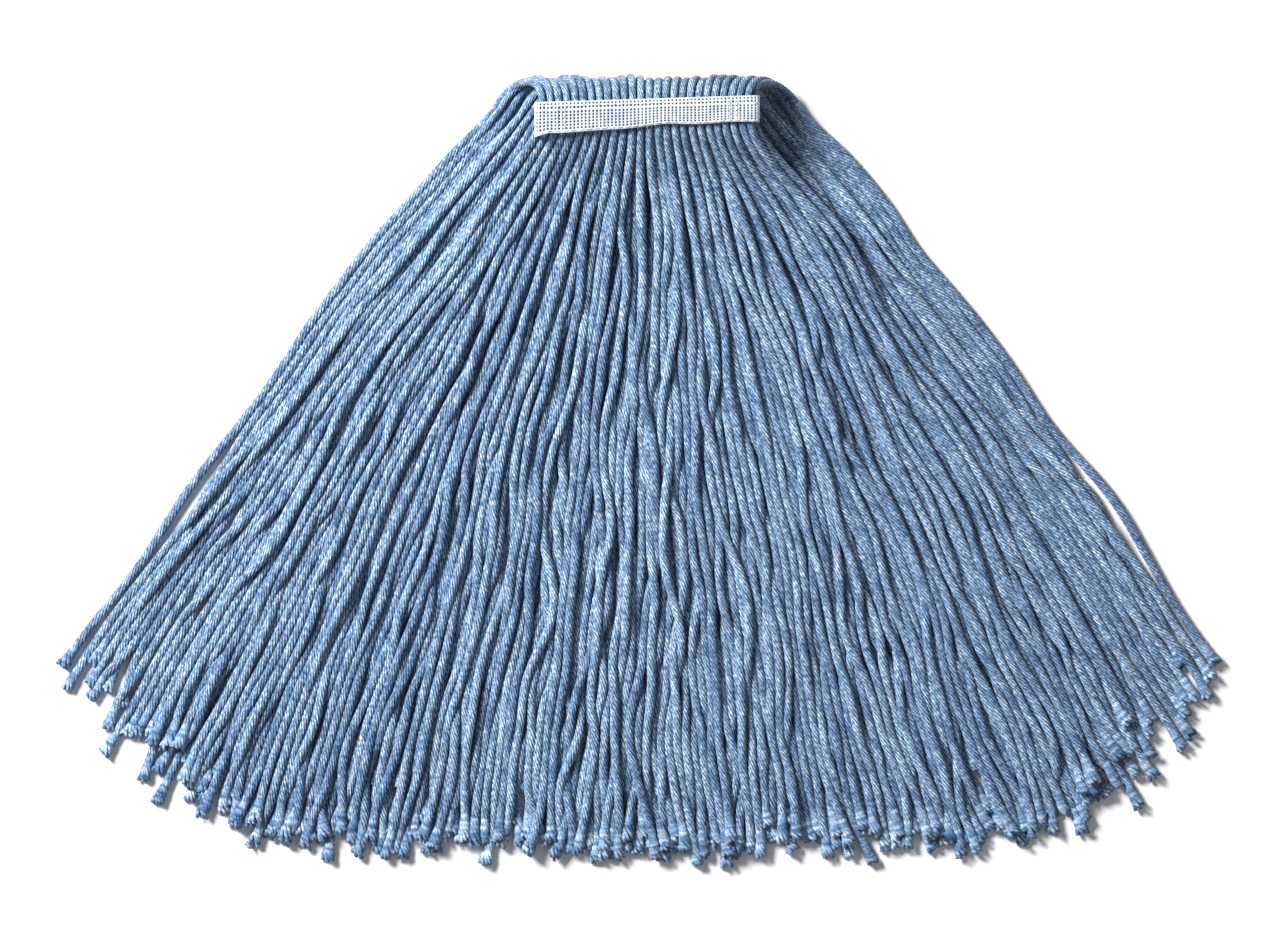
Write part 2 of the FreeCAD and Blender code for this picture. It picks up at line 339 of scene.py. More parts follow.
def wander(lines, rng):
    """Gentle waves, part shared by neighbours and part each tail's own, and loose cut ends."""
    s = arc_lengths(lines)
    one = (len(lines), 1)
    grow = np.clip((s - WAVE_START) / WAVE_GROWTH, 0, 1)
    moved = np.zeros_like(s)
    for wave, size in OWN_WAVES:
        phase = rng.uniform(0, 2 * math.pi, one)
        moved += rng.normal(0, size, one) * np.sin(2 * math.pi * s / wave + phase)
    x = lines[:, :, 0]
    moved += SHARED_WAVE * np.sin(x / SHARED_ACROSS + s / SHARED_ALONG)
    edge = np.abs(x[:, -1:]) / np.abs(x).max()
    lines[:, :, 0] += moved * grow * (MIDDLE_WAVES - EDGE_CALM * edge ** 3)
    loose_end = np.clip(1 - (s[:, -1:] - s) / LOOSE_END, 0, 1) ** 2
    lines[:, :, 0] += loose_end * rng.normal(0, END_STRAY, one)
    rise = np.abs(np.sin(math.pi * s / RISE_WAVE + rng.uniform(0, math.pi, one)))
    lines[:, :, 2] += rng.uniform(0, MOST_RISE, one) * rise * grow
    return lines


def close_pairs(points, reach):
    """Every pair of points nearer than reach, found on a grid."""
    cell = np.floor((points - points.min(0)) / reach).astype(np.int64) + 1
    size = cell.max(0) + 2
    key = (cell[:, 2] * size[1] + cell[:, 1]) * size[0] + cell[:, 0]
    order = np.argsort(key, kind="stable")
    key = key[order]
    own = np.arange(len(key))
    firsts, seconds = [], []
    for rise, row in ((0, 0), (0, 1), (1, -1), (1, 0), (1, 1)):
        shift = (rise * size[1] + row) * size[0]
        low = own + 1 if shift == 0 else np.searchsorted(key, key + shift - 1, "left")
        count = np.maximum(np.searchsorted(key, key + shift + 1, "right") - low, 0)
        offset = np.arange(count.sum()) - np.repeat(np.cumsum(count) - count, count)
        firsts.append(order[np.repeat(own, count)])
        seconds.append(order[np.repeat(low, count) + offset])
    first, second = np.concatenate(firsts), np.concatenate(seconds)
    near = ((points[first] - points[second]) ** 2).sum(1) < reach * reach
    return first[near], second[near]


def near_firm(lines, firm):
    """Bring each line back to within MOST_LOOSE of its firm route, in plan."""
    drift = lines[:, :, :2] - firm[:, :, :2]
    far = np.maximum(np.linalg.norm(drift, axis=2, keepdims=True), LEAST)
    lines[:, :, :2] = firm[:, :, :2] + drift * np.minimum(1, MOST_LOOSE / far)
    return lines


def push_apart(lines, pairs, radius, free):
    """Move overlapping points away from each other."""
    first, second = pairs
    flat = lines.reshape(-1, 3)
    apart = flat[second] - flat[first]
    distance = np.maximum(np.linalg.norm(apart, axis=1), LEAST)
    overlap = np.maximum(radius[first] + radius[second] - distance, 0)
    push = apart * (PUSH * overlap / distance)[:, None]
    for axis in range(3):
        flat[:, axis] += (np.bincount(second, push[:, axis], len(flat))
                          - np.bincount(first, push[:, axis], len(flat))) * free
    return flat.reshape(lines.shape)


def spread_drift(lines, plan, free):
    """Spread each tail's displacement along it, and let it relax a little in plan."""
    drift = lines - plan
    drift[:, 1:-1] += DRIFT_SMOOTH * (0.5 * (drift[:, :-2] + drift[:, 2:]) - drift[:, 1:-1])
    drift[:, :, :2] *= DRIFT_KEPT
    return plan + drift * free[:, :, None]


def keep_lengths(lines, span, free):
    """Move neighbouring points back towards their first distance."""
    step = np.diff(lines, axis=1)
    long = np.linalg.norm(step, axis=2)
    fix = step * (0.5 * (long - span) / np.maximum(long, LEAST))[:, :, None]
    lines[:, :-1] += fix * 0.5 * free[:, :-1, None]
    lines[:, 1:] -= fix * 0.5 * free[:, 1:, None]
    return lines


def settle(lines, firm, rounds):
    """Let the tails push each other aside and sink until they rest on each other."""
    plan = lines.copy()
    span = np.linalg.norm(np.diff(plan, axis=1), axis=2)
    s = arc_lengths(plan)
    radius = PRESSED_R + (YARN_R - PRESSED_R) * np.clip(s / SWELL_BY, 0, 1)
    free = (s > SEWN).astype(float)
    strand = np.repeat(np.arange(len(lines)), lines.shape[1])
    for turn in range(rounds):
        if turn % PAIRS_EVERY == 0:
            first, second = close_pairs(lines.reshape(-1, 3), 2 * YARN_R + PAIR_MARGIN)
            other = strand[first] != strand[second]
            pairs = first[other], second[other]
        lines[:, :, 2] -= SINK * free
        lines = push_apart(lines, pairs, radius.ravel(), free.ravel())
        lines = spread_drift(lines, plan, free)
        lines = keep_lengths(lines, span, free)
        lines[:, :, 2] = np.maximum(lines[:, :, 2], radius)
        lines = near_firm(lines, firm)
    return lines


# ---------------------------------------------------------------- yarn meshes

def frames(lines):
    """Unit vectors along and across each line. No strand runs along X."""
    along = np.gradient(lines, axis=1)
    along /= np.linalg.norm(along, axis=2, keepdims=True)
    across = np.array([1.0, 0, 0]) - along * along[:, :, :1]
    across /= np.linalg.norm(across, axis=2, keepdims=True)
    return along, across, np.cross(along, across)


def yarn_rings(lines, radius, phase):
    """Rings of a twisted strand: (strands, rings, points, 3)."""
    _, across, up = frames(lines)
    profile = np.tile(PLY_PROFILE, PLIES)
    angle = np.arange(PLIES * PER_PLY) * (2 * math.pi / (PLIES * PER_PLY))
    turned = phase[:, :, None] + angle
    reach = radius[:, :, None] * profile
    return (lines[:, :, None] + (reach * np.cos(turned))[..., None] * across[:, :, None]
            + (reach * np.sin(turned))[..., None] * up[:, :, None])


def splayed_rings(lines, phase, rng):
    """Rings of the separate plies at a cut end: (strands x plies, rings, points, 3)."""
    along, across, up = (v[:, -SPLAY_RINGS:] for v in frames(lines))
    centre = lines[:, -SPLAY_RINGS:]
    share = np.linspace(0, 1, SPLAY_RINGS)
    each_ply = (len(lines), PLIES, 1)
    open_by = rng.uniform(LEAST_OPEN, 1.0, each_ply)
    distance = YARN_R * (PLY_START + PLY_OPENS * open_by * share ** 1.8)
    turned = (phase[:, None, -SPLAY_RINGS:] + np.arange(PLIES)[:, None] * (2 * math.pi / PLIES)
              + rng.normal(0, PLY_STRAYS, each_ply) * share)
    lengthen = rng.uniform(-PLY_SHORTER, PLY_LONGER, each_ply) * share ** 2
    place = (centre[:, None] + (distance * np.cos(turned))[..., None] * across[:, None]
             + (distance * np.sin(turned))[..., None] * up[:, None]
             + lengthen[..., None] * along[:, None])
    thick = PLY_R * (0.84 + 0.4 * np.sin(share * 2.2)) * np.ones(each_ply)
    place[..., 2] = np.maximum(place[..., 2], thick)
    angle = np.arange(PLY_SIDES) * (2 * math.pi / PLY_SIDES)
    rings = (place[:, :, :, None]
             + (thick[..., None] * np.cos(angle))[..., None] * across[:, None, :, None]
             + (thick[..., None] * np.sin(angle))[..., None] * up[:, None, :, None])
    return rings.reshape(len(lines) * PLIES, SPLAY_RINGS, PLY_SIDES, 3)


def painted_flank_shade(rings):
    """Painted shade between strands: 1 on a strand's top and underside, down to the least flank value
    where it lies against its neighbours.
    """
    out = rings - rings.mean(axis=2, keepdims=True)
    rise = np.abs(out[..., 2]) / np.linalg.norm(out, axis=3)
    return PAINTED_FLANK_SHADE + (1 - PAINTED_FLANK_SHADE) * np.clip(rise / SHADE_RISE, 0, 1)


def ring_faces(shape, first, capped):
    """Corner numbers of the side quads of a batch of ringed tubes, and of their end caps."""
    tubes, rings, points = shape
    base = first + np.arange(tubes)[:, None, None] * rings * points
    ring = np.arange(rings - 1)[None, :, None] * points
    k = np.arange(points)[None, None, :]
    after = (k + 1) % points
    quads = np.stack([base + ring + k, base + ring + after,
                      base + ring + points + after, base + ring + points + k], axis=-1)
    if not capped:
        return quads.reshape(-1, 4), np.empty((0, points), np.int64)
    start = base[:, :, 0] + np.arange(points)[::-1]
    end = base[:, :, 0] + (rings - 1) * points + np.arange(points)
    return quads.reshape(-1, 4), np.concatenate([start, end])


def ring_uv(shape, plies):
    """For each side quad corner: turns round the strand in plies, and ring number."""
    tubes, rings, points = shape
    u = np.arange(points) * plies / points
    step = plies / points
    corner_u = np.stack([u, u + step, u + step, u], axis=-1)
    v = np.arange(rings - 1)
    corner_v = np.stack([v, v, v + 1, v + 1], axis=-1).astype(float)
    uv = np.empty((tubes, rings - 1, points, 4, 2))
    uv[..., 0] = corner_u[None, None]
    uv[..., 1] = corner_v[None, :, None]
    return uv.reshape(-1, 4, 2)


def mesh_of(name, places, corners, sizes):
    """A mesh from its points, its faces' corner numbers in a row, and each face's corner count."""
    mesh = bpy.data.meshes.new(name)
    mesh.vertices.add(len(places))
    mesh.vertices.foreach_set("co", places.ravel())
    mesh.loops.add(len(corners))
    mesh.loops.foreach_set("vertex_index", corners.astype(np.int32))
    mesh.polygons.add(len(sizes))
    mesh.polygons.foreach_set("loop_start", np.cumsum(np.append(0, sizes[:-1])).astype(np.int32))
    return mesh


def yarn_mesh(name, batches, material):
    """One piece from batches of (rings, plies, metres per ring, tones, painted groove shade, capped)."""
    points, quads, caps, uvs, tones, painted_shades = [], [], [], [], [], []
    first = 0
    for rings, plies, spacing, tone, painted_shade, capped in batches:
        shape = rings.shape[:3]
        side, ends = ring_faces(shape, first, capped)
        points.append(rings.reshape(-1, 3))
        quads.append(side)
        caps.append(ends)
        uv = ring_uv(shape, plies)
        uv[..., 1] *= spacing
        uv[..., 0] += np.repeat(tone * TONE_SHIFT, (shape[1] - 1) * shape[2])[:, None]
        uvs.append(uv)
        tones.append(np.repeat(tone, shape[1] * shape[2]))
        # painted shade: darker in the grooves between plies and on the flanks between strands
        painted_shades.append((painted_shade * painted_flank_shade(rings)).ravel())
        first += shape[0] * shape[1] * shape[2]
    corners = np.concatenate([q.ravel() for q in quads] + [c.ravel() for c in caps])
    sizes = np.concatenate([np.full(len(q), 4) for q in quads]
                           + [np.full(len(c), c.shape[1]) for c in caps])
    mesh = mesh_of(name, np.concatenate(points) + ORIGIN, corners, sizes)
    flat = np.zeros((len(corners), 2))
    side_uv = np.concatenate([u.reshape(-1, 2) for u in uvs])
    flat[:len(side_uv)] = side_uv
    mesh.uv_layers.new(name="strand").data.foreach_set("uv", flat.ravel())
    for label, values in (("tone", tones), ("painted_shade", painted_shades)):
        attribute = mesh.attributes.new(label, "FLOAT", "POINT")
        attribute.data.foreach_set("value", np.concatenate(values).astype(np.float32))
    mesh.update(calc_edges=True)
    mesh.validate()
    mesh.shade_smooth()
    mesh.materials.append(material)
    piece = linked(name, mesh)
    return piece


# ---------------------------------------------------------------- materials

WHITE = (1, 1, 1, 1)
BLACK = (0, 0, 0, 1)


def new_material(name, rough, sheen):
    material = bpy.data.materials.new(name)
    material.use_nodes = True
    shader = material.node_tree.nodes["Principled BSDF"]
    shader.inputs["Roughness"].default_value = rough
    shader.inputs["Specular IOR Level"].default_value = 0.15
    shader.inputs["Sheen Weight"].default_value = sheen
    return material, material.node_tree, shader


def linear(red, green, blue):
    """An sRGB colour, 0 to 255, as a linear RGBA."""
    parts = [c / 255 for c in (red, green, blue)]
    return [c / 12.92 if c <= 0.04045 else ((c + 0.055) / 1.055) ** 2.4 for c in parts] + [1.0]


def ramp(tree, source, stops):
    """The colours of a ramp with these stops, read by a socket."""
    node = tree.nodes.new("ShaderNodeValToRGB")
    while len(node.color_ramp.elements) < len(stops):
        node.color_ramp.elements.new(0.5)
    for element, (place, colour) in zip(node.color_ramp.elements, stops):
        element.position = place
        element.color = colour
    tree.links.new(source, node.inputs["Fac"])
    return node.outputs["Color"]


def noise(tree, source, scale, detail):
    node = tree.nodes.new("ShaderNodeTexNoise")
    node.inputs["Scale"].default_value = scale
    node.inputs["Detail"].default_value = detail
    tree.links.new(source, node.inputs["Vector"])
    return node.outputs["Fac"]


def streaks(tree, source, across, lengthwise, detail):
    """Noise stretched along the strand, from its own coordinates."""
    stretch = tree.nodes.new("ShaderNodeMapping")
    stretch.inputs["Scale"].default_value = (across, lengthwise, 1.0)
    tree.links.new(source, stretch.inputs["Vector"])
    return noise(tree, stretch.outputs["Vector"], 1.0, detail)


def attribute(tree, name):
    node = tree.nodes.new("ShaderNodeAttribute")
    node.attribute_name = name
    return node.outputs["Fac"]


def add_bump(tree, shader, height, strength, distance):
    bump = tree.nodes.new("ShaderNodeBump")
    bump.inputs["Strength"].default_value = strength
    bump.inputs["Distance"].default_value = distance
    tree.links.new(height, bump.inputs["Height"])
    tree.links.new(bump.outputs["Normal"], shader.inputs["Normal"])


def mixed(tree, kind, factor, low, high):
    """A colour mix. A factor or colour may be a value or another node's socket."""
    node = tree.nodes.new("ShaderNodeMix")
    node.data_type = "RGBA"
    node.blend_type = kind
    for socket, value in ((node.inputs[0], factor), (node.inputs[6], low), (node.inputs[7], high)):
        if isinstance(value, bpy.types.NodeSocket):
            tree.links.new(value, socket)
        else:
            socket.default_value = value
    return node.outputs[2]


def yarn_material():
    """Melange yarn: mid and light blue fibres with white, beige and navy flecks, and painted shade in the
    grooves between plies and on the flanks between strands.
    """
    material, tree, shader = new_material("melange_yarn", 0.88, 0.25)
    uv = tree.nodes.new("ShaderNodeUVMap")
    uv.uv_map = "strand"
    place = uv.outputs["UV"]
    colour = ramp(tree, streaks(tree, place, 2.0, 430.0, 4.0),
                  [(0.30, linear(58, 98, 140)), (0.43, linear(114, 152, 186)),
                   (0.53, linear(162, 191, 218)), (0.64, linear(236, 243, 249))])
    beige = ramp(tree, streaks(tree, place, 1.3, 230.0, 1.0), [(0.69, BLACK), (0.74, WHITE)])
    colour = mixed(tree, "MIX", beige, colour, linear(214, 203, 190))
    navy = ramp(tree, streaks(tree, place, 2.4, 330.0, 2.0), [(0.27, WHITE), (0.34, BLACK)])
    colour = mixed(tree, "MIX", navy, colour, linear(40, 68, 112))
    patches = ramp(tree, streaks(tree, place, 0.35, 62.0, 3.0),
                   [(0.37, linear(172, 188, 204)), (0.60, WHITE)])
    strand_tone = ramp(tree, attribute(tree, "tone"), [(0.0, linear(200, 208, 222)), (1.0, WHITE)])
    # painted shade: the grooves between plies and the strands' flanks are darkened towards navy
    painted_shade_colour = ramp(tree, attribute(tree, "painted_shade"), [(0.0, linear(22, 38, 68)), (0.8, WHITE)])
    for shade in (patches, strand_tone, painted_shade_colour):
        colour = mixed(tree, "MULTIPLY", 1.0, colour, shade)
    tree.links.new(colour, shader.inputs["Base Color"])
    add_bump(tree, shader, streaks(tree, place, 4.0, 900.0, 3.0), 0.55, 0.35 * MM)
    return material


def white_thread(name, fine, low, high):
    """White synthetic thread: fine cross-threads in the bump, and a little uneven whiteness."""
    material, tree, shader = new_material(name, 0.55, 0.15)
    place = tree.nodes.new("ShaderNodeTexCoord").outputs["Object"]
    shade = ramp(tree, noise(tree, place, 160.0, 4.0), [(0.3, low), (0.7, high)])
    tree.links.new(shade, shader.inputs["Base Color"])
    weave = tree.nodes.new("ShaderNodeTexWave")
    weave.wave_type = "BANDS"
    weave.bands_direction = "DIAGONAL"
    weave.inputs["Scale"].default_value = fine
    weave.inputs["Distortion"].default_value = 1.5
    tree.links.new(place, weave.inputs["Vector"])
    add_bump(tree, shader, weave.outputs["Fac"], 0.5, 0.2 * MM)
    return material


def floor_material():
    """Pale grey, a little uneven."""
    material, tree, shader = new_material("pale_floor", 0.9, 0.0)
    place = tree.nodes.new("ShaderNodeTexCoord").outputs["Object"]
    shade = ramp(tree, noise(tree, place, 3.0, 2.0),
                 [(0.0, (0.93, 0.93, 0.93, 1)), (1.0, (0.96, 0.96, 0.96, 1))])
    tree.links.new(shade, shader.inputs["Base Color"])
    return material


# ---------------------------------------------------------------- headband

SIDE_ROOM = 1.2 * MM             # from the outermost strand to the tape
TAPE_HALF = ((COLUMNS - 1) / 2 * FRONT["pitch"] + FRONT["pitch"] / 4 + PRESSED_D / 2
             + SIDE_ROOM + TAPE)
TAPE_CORNER = 4.0 * MM
TAPE_WIDE = 2 * (TAPE_HALF - TAPE_CORNER)
TAPE_HIGH = BAND_HIGH - BAND_LOW - 2 * TAPE_CORNER
TAPE_TURN = math.pi / 2 * TAPE_CORNER
TAPE_ROUND = 2 * TAPE_WIDE + 2 * TAPE_HIGH + 4 * TAPE_TURN
CLOTH = 1.0 * MM                 # thickness of the mesh
CELL = 2.4 * MM                  # mesh pitch round the tape
RIB = 1.2 * MM                   # width of a rib between two holes
# From the lower edge to the upper: a selvage, six rows of holes, the fold line, two more rows.
# Each is a width and 1 for cloth or 0 for holes.
BARS = ((2.4, 1),) + ((1.25, 0), (0.9, 1)) * 6 + ((0.9, 1), (1.6, 0), (0.9, 1), (1.2, 0), (1.3, 1))
ASKEW = 2.2 * MM                 # its left end lies twice this much nearer to the tips than its right end
GATHER = 3.0 * MM                # its lower edge is gathered up by this much,
GATHER_FROM = -35 * MM           # from this x to the right
GATHER_OVER = 45 * MM            # and fully so after this length
CORNER_DROP = 2.5 * MM           # its lower left corner hangs down,
CORNER_FROM = -62 * MM           # from this x to the left
CORNER_OVER = 8 * MM
RIPPLE = 0.35 * MM
RIPPLE_WAVE = 7 * MM
ROLL = 2.2 * MM                  # its upper edge rolls over, from this share of its width
ROLL_FROM = 0.82
LIFT = 0.25 * MM
LIFT_WAVE = 9 * MM

THREAD_R = 0.42 * MM
TACK_R = 0.45 * MM
THREAD_PROUD = 0.7 * MM          # the thread's middle lies this far off the tape's faces
THREAD_STEP = 0.8 * MM
STITCH_RINGS = 6
STITCH_SIDES = 8
ROWS = (("stitch_row_upper", 0.845), ("stitch_row_lower", 0.08))  # share of the tape's width
ROW_HALF = 64 * MM
ROW_STITCHES = 26
TACKS = (("end_tacks_left", -1), ("end_tacks_right", 1))
TACKS_X = (52.5 * MM, 57 * MM)
TACK_STITCHES = 4


def on_tape(t):
    """The point (x, z) at distance t round the tape, clockwise from its upper left corner."""
    middle_z = (BAND_HIGH + BAND_LOW) / 2
    sides = ((TAPE_WIDE, -TAPE_WIDE / 2, TAPE_HIGH / 2 + TAPE_CORNER),
             (TAPE_HIGH, TAPE_WIDE / 2 + TAPE_CORNER, TAPE_HIGH / 2),
             (TAPE_WIDE, TAPE_WIDE / 2, -TAPE_HIGH / 2 - TAPE_CORNER),
             (TAPE_HIGH, -TAPE_WIDE / 2 - TAPE_CORNER, -TAPE_HIGH / 2))
    t = t % TAPE_ROUND
    for side, (long, x, z) in enumerate(sides):
        heading = -side * math.pi / 2
        if t <= long:
            return x + t * math.cos(heading), middle_z + z + t * math.sin(heading)
        t -= long
        if t <= TAPE_TURN:
            cx = x + long * math.cos(heading) + TAPE_CORNER * math.sin(heading)
            cz = z + long * math.sin(heading) - TAPE_CORNER * math.cos(heading)
            turn = heading + math.pi / 2 - t / TAPE_CORNER
            return cx + TAPE_CORNER * math.cos(turn), middle_z + cz + TAPE_CORNER * math.sin(turn)
        t -= TAPE_TURN
    return -TAPE_WIDE / 2, middle_z + TAPE_HIGH / 2 + TAPE_CORNER


def tape_place(x, z, v):
    """The tape as sewn: it lies a little askew, and its lower edge is gathered to the right."""
    across = (v - 0.5) * BAND_WIDTH
    askew = -ASKEW + ASKEW * x / TAPE_HALF
    gather = GATHER * np.clip((x - GATHER_FROM) / GATHER_OVER, 0, 1) * (1 - v) ** 1.5
    corner = CORNER_DROP * np.clip((CORNER_FROM - x) / CORNER_OVER, 0, 1) * (1 - v) ** 3
    ripple = RIPPLE * math.sin(x / RIPPLE_WAVE) * (1 - v)
    on_top = z > (BAND_LOW + BAND_HIGH) / 2
    roll = ROLL * max(0.0, v - ROLL_FROM) / (1 - ROLL_FROM) if on_top else 0.0
    lift = LIFT * math.sin(x / LIFT_WAVE + 4 * v)
    return (x, across + askew + gather - corner + ripple, z - roll + lift)


def headband(material):
    """Open-mesh tape round the bundle: ribs and bars with holes between them."""
    cells = round(TAPE_ROUND / CELL)
    pitch = TAPE_ROUND / cells
    rib = RIB / pitch
    edges_v = np.cumsum([0.0] + [w for w, _ in BARS])
    edges_v /= edges_v[-1]
    places, faces = [], []
    for cell in range(cells):
        for part in (0.0, rib / 2, rib, (1 + rib) / 2):
            x, z = on_tape((cell + part) * pitch)
            places.extend(Vector(tape_place(x, z, v)) + Vector(ORIGIN) for v in edges_v)
    rows = len(edges_v)
    for line in range(cells * 4):
        after = (line + 1) % (cells * 4)
        for row, (_, solid) in enumerate(BARS):
            if solid or line % 4 < 2:
                faces.append((line * rows + row, line * rows + row + 1,
                              after * rows + row + 1, after * rows + row))
    mesh = bpy.data.meshes.new("headband_mesh_tape")
    mesh.from_pydata(places, [], faces)
    mesh.validate()
    mesh.shade_smooth()
    mesh.materials.append(material)
    piece = linked("headband_mesh_tape", mesh)
    thick = piece.modifiers.new("thickness", "SOLIDIFY")
    thick.thickness = CLOTH
    thick.offset = 0.0
    smooth = piece.modifiers.new("rounded", "SUBSURF")
    smooth.levels = smooth.render_levels = 1
    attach(piece, BODY_FRONT)
    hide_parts("headband_tape")


def thread_run(points, radius, count):
    """Rings of short stitches laid end to end along a line of points."""
    line = np.array(points)
    number = np.arange(len(line))
    along = np.linspace(0, len(line) - 1, count * STITCH_RINGS)
    place = np.stack([np.interp(along, number, line[:, axis]) for axis in range(3)], 1)
    place = place.reshape(count, STITCH_RINGS, 3)
    full = 0.35 + 0.65 * np.sin(math.pi * np.linspace(0, 1, STITCH_RINGS)) ** 0.5
    step = np.gradient(place, axis=1)
    step /= np.linalg.norm(step, axis=2, keepdims=True)
    up = np.zeros_like(place)
    up[..., 2] = 1.0
    side = np.cross(step, up)
    side /= np.linalg.norm(side, axis=2, keepdims=True)
    angle = np.arange(STITCH_SIDES) * (2 * math.pi / STITCH_SIDES)
    reach = (radius * full)[None, :, None, None]
    return (place[:, :, None] + reach * np.cos(angle)[:, None] * side[:, :, None]
            + reach * np.sin(angle)[:, None] * up[:, :, None])


def stitches(material):
    """The two long rows and the end tacks, on both faces of the tape."""
    runs = {name: [] for name, _ in ROWS + TACKS}
    for z in (BAND_HIGH + THREAD_PROUD, BAND_LOW - THREAD_PROUD):
        for name, v in ROWS:
            line = [tape_place(x, z, v) for x in np.linspace(-ROW_HALF, ROW_HALF, 60)]
            runs[name].append(thread_run(line, THREAD_R, ROW_STITCHES))
        for name, side in TACKS:
            for x in TACKS_X:
                line = [tape_place(side * x, z, v) for v in np.linspace(0.1, 0.8, 12)]
                runs[name].append(thread_run(line, TACK_R, TACK_STITCHES))
    for name, rings in runs.items():
        rings = np.concatenate(rings)
        tone = np.linspace(0, 1, len(rings))
        piece = yarn_mesh(name + "_thread", [(rings, 3, THREAD_STEP, tone, 1.0, True)], material)
        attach(piece, BODY_FRONT)
        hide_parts(name)


# ---------------------------------------------------------------- the strands

# Every tail as (in the front half, layer, column): the front half's first, then the back's.
TAILS = [(front, layer, column) for front in (True, False)
         for layer in range(LAYERS) for column in range(COLUMNS)]


def laid_out(rng):
    """Settled centre lines of every tail, from the tape to its tip, and lines of every loop."""
    side = np.abs([column_place(column) for _, _, column in TAILS])
    extra = rng.normal(-SIDE_SHORTER * np.sin(math.pi * side ** 1.3), UNEVEN_ENDS)
    extra = extra.clip(-MOST_LOOSE, 0.8 * MOST_LOOSE)
    routes, firm_routes = ([tail_route(front, column, layer, more, loose)
                            for (front, layer, column), more in zip(TAILS, extra)]
                           for loose in (1, 0))
    puff = rng.normal(0, PUFF, HALF).clip(-MOST_PUFF, MOST_PUFF)
    loops = [loop_route(column, layer, routes[k][0], routes[HALF + k][0], puff[k])
             for k, (_, layer, column) in enumerate(TAILS[:HALF])]
    firm = even(smooth_lines(firm_routes), PLAN_POINTS)
    tails = wander(even(smooth_lines(routes), PLAN_POINTS), rng)
    tails = settle(tails, firm, ROUNDS)
    tails = soften(even(soften(tails, SOFTEN_PLAN), TAIL_RINGS), SOFTEN_RINGS)
    return tails, even(smooth_lines(loops), LOOP_RINGS)


def strand_radius(s, phase):
    """Radius along whole strands: pressed at the tape, plump over the fold, a little uneven."""
    loop_start, loop_end = s[:, [LOOP_FIRST]], s[:, [LOOP_LAST]]
    from_band = np.maximum(loop_start - s, 0) + np.maximum(s - loop_end, 0)
    radius = PRESSED_R + (YARN_R - PRESSED_R) * np.clip(from_band / FULL_BY, 0, 1)
    crest = np.sin(math.pi * np.clip((s - loop_start) / (loop_end - loop_start), 0, 1))
    layer_of = np.array([layer for _, layer, _ in TAILS[:HALF]])
    radius += crest * PLUMP[layer_of][:, None]
    radius *= 1 + 0.05 * np.sin(s / (23 * MM) + phase[:, :1] * 5)
    return radius


def twisted(tails, bends, rng):
    """The whole strands, each with one twist from its front tip through its loop to its back tip."""
    lines = np.concatenate([tails[:HALF, ::-1], bends[:, 1:-1], tails[HALF:]], axis=1)
    s = arc_lengths(lines)
    phase = rng.uniform(0, 2 * math.pi, (HALF, 1)) - 2 * math.pi * s / TWIST
    radius = strand_radius(s, phase)
    lines[:, :, 2] = np.maximum(lines[:, :, 2], radius)
    return dict(lines=lines, phase=phase, rings=yarn_rings(lines, radius, phase),
                tone=rng.uniform(0, 1, HALF), painted_shade=np.tile(PLY_GROOVE_SHADE, PLIES))


def tail_batches(strands, chosen, front, rng):
    """The chosen strands' tails on one side of the fold, as batches, and their centre lines."""
    chosen = np.array(chosen)
    lines, phase, rings = (strands[key][chosen] for key in ("lines", "phase", "rings"))
    tone, painted_shade = strands["tone"][chosen], strands["painted_shade"]
    if front:
        lines, phase = lines[:, :TAIL_RINGS][:, ::-1], -phase[:, :TAIL_RINGS][:, ::-1]
        rings, painted_shade = rings[:, :TAIL_RINGS][:, ::-1, ::-1], painted_shade[::-1]
    else:
        lines, phase, rings = (part[:, -TAIL_RINGS:] for part in (lines, phase, rings))
    plies = splayed_rings(lines, phase, rng)
    return [(rings[:, :BODY_RINGS], PLIES, RING_STEP, tone, painted_shade, False),
            (plies, 1, RING_STEP, np.repeat(tone, PLIES), 1.0, True)], lines


def tail_piece(name, front, layer, batches, material):
    """A mesh of tails that rides on its half, in place of its layer's solids."""
    kind = "front" if front else "back"
    piece = yarn_mesh(kind + name, batches, material)
    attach(piece, BODY_FRONT if front else BODY_BACK)
    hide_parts("%s_strands_layer_%d" % (kind, layer + 1))
    return piece


def single_tails(strands, singles, material, rng):
    """The tails that reach furthest, each a piece of its own."""
    for index in singles:
        front, layer, column = TAILS[index]
        batches, lines = tail_batches(strands, [index % HALF], front, rng)
        piece = tail_piece("_tail_%d_%02d" % (layer + 1, column + 1), front, layer, batches, material)


def other_tails(strands, singles, material, rng):
    """The rest of the tails, one piece for each layer of each half."""
    for front in (True, False):
        for layer in range(LAYERS):
            chosen = [k % HALF for k, tail in enumerate(TAILS)
                      if tail[:2] == (front, layer) and k not in singles]
            if chosen:
                batches, _ = tail_batches(strands, chosen, front, rng)
                tail_piece("_tails_layer_%d" % (layer + 1), front, layer, batches, material)


def fold_loops(strands, material):
    """The loops, one piece for each layer."""
    for layer in range(LAYERS):
        chosen = np.arange(layer * COLUMNS, (layer + 1) * COLUMNS)
        batch = (strands["rings"][chosen, LOOP_FIRST:LOOP_LAST + 1], PLIES, RING_STEP,
                 strands["tone"][chosen], strands["painted_shade"], False)
        piece = yarn_mesh("loops_layer_%d" % (layer + 1), [batch], material)
        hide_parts("fold_loops_layer_%d" % (layer + 1))
        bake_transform(piece)


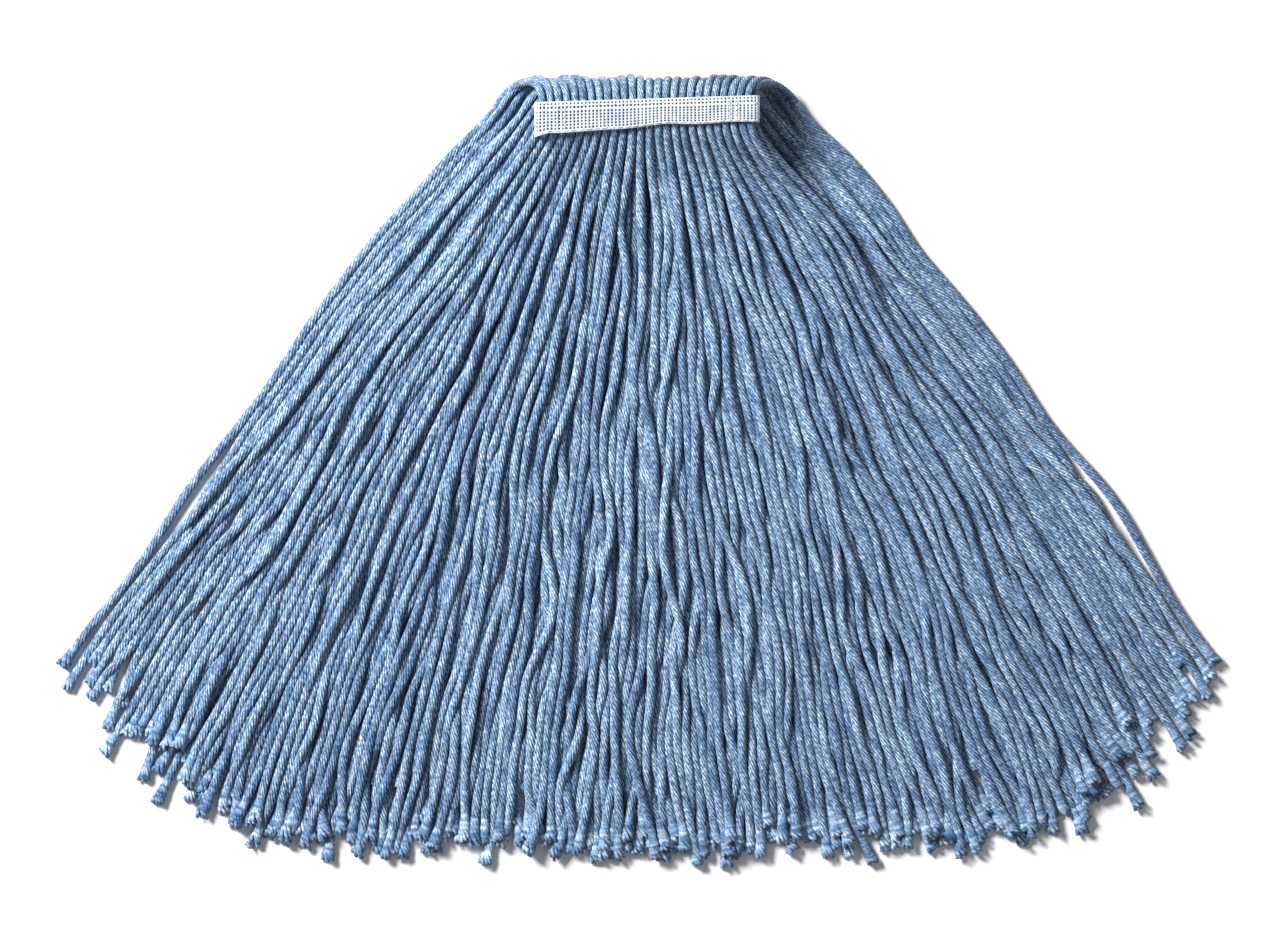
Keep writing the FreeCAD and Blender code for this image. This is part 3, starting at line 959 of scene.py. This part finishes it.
def all_strands(material):
    rng = np.random.default_rng(SEED)
    tails, bends = laid_out(rng)
    strands = twisted(tails, bends, rng)
    reach = np.linalg.norm(tails[:, -1, :2], axis=1)
    singles = sorted(int(k) for k in np.argsort(-reach, kind="stable")[:CORDS])
    single_tails(strands, singles, material, rng)
    other_tails(strands, singles, material, rng)
    fold_loops(strands, material)


# ---------------------------------------------------------------- stage

LENS = 200
SENSOR = 36
VIEW_WIDTH = 818 * MM            # what the picture's width shows, at this height:
VIEW_HEIGHT = 18 * MM
VIEW_MIDDLE = (-4.5 * MM, -224.4 * MM)  # from the middle of the headband
FLOOR_SIZE = 12
FLOOR_GAP = 0.3 * MM             # the floor lies this far below the lowest strands
LIGHTS = (("key", (-1.6, 1.2, 1.7), 0.9, 156.0),  # name, place, size, power
          ("fill", (1.4, -1.4, 2.4), 2.0, 6.0))
SKY = (0.97, 0.98, 1.0, 1)
SKY_STRENGTH = 0.18


def camera_above():
    """The camera looks straight down."""
    data = bpy.data.cameras.new("camera")
    data.lens = LENS
    data.sensor_width = SENSOR
    camera = linked("camera", data)
    height = VIEW_WIDTH * LENS / SENSOR + VIEW_HEIGHT
    camera.location = Vector(ORIGIN) + Vector((*VIEW_MIDDLE, height))
    bpy.context.scene.camera = camera


def pale_floor():
    bpy.ops.mesh.primitive_plane_add(size=FLOOR_SIZE, location=(0, 0, -FLOOR_GAP))
    floor = bpy.context.object
    floor.name = "floor"
    floor.data.materials.append(floor_material())


def soft_light():
    """A soft key light from the upper left, a weak fill and a pale sky."""
    for name, place, size, power in LIGHTS:
        data = bpy.data.lights.new(name, "AREA")
        data.size = size
        data.energy = power
        light = linked(name, data)
        light.location = place
        light.rotation_euler = (-Vector(place)).to_track_quat("-Z", "Y").to_euler()
    world = bpy.data.worlds.new("world")
    world.use_nodes = True
    background = world.node_tree.nodes["Background"]
    background.inputs["Color"].default_value = SKY
    background.inputs["Strength"].default_value = SKY_STRENGTH
    bpy.context.scene.world = world
    bpy.context.scene.view_settings.view_transform = "Standard"


camera_above()
pale_floor()
soft_light()
all_strands(yarn_material())
headband(white_thread("mesh_tape_white", 900.0, linear(172, 184, 202), linear(224, 231, 240)))
stitches(white_thread("sewing_thread_white", 1500.0, linear(222, 228, 236), linear(250, 251, 253)))
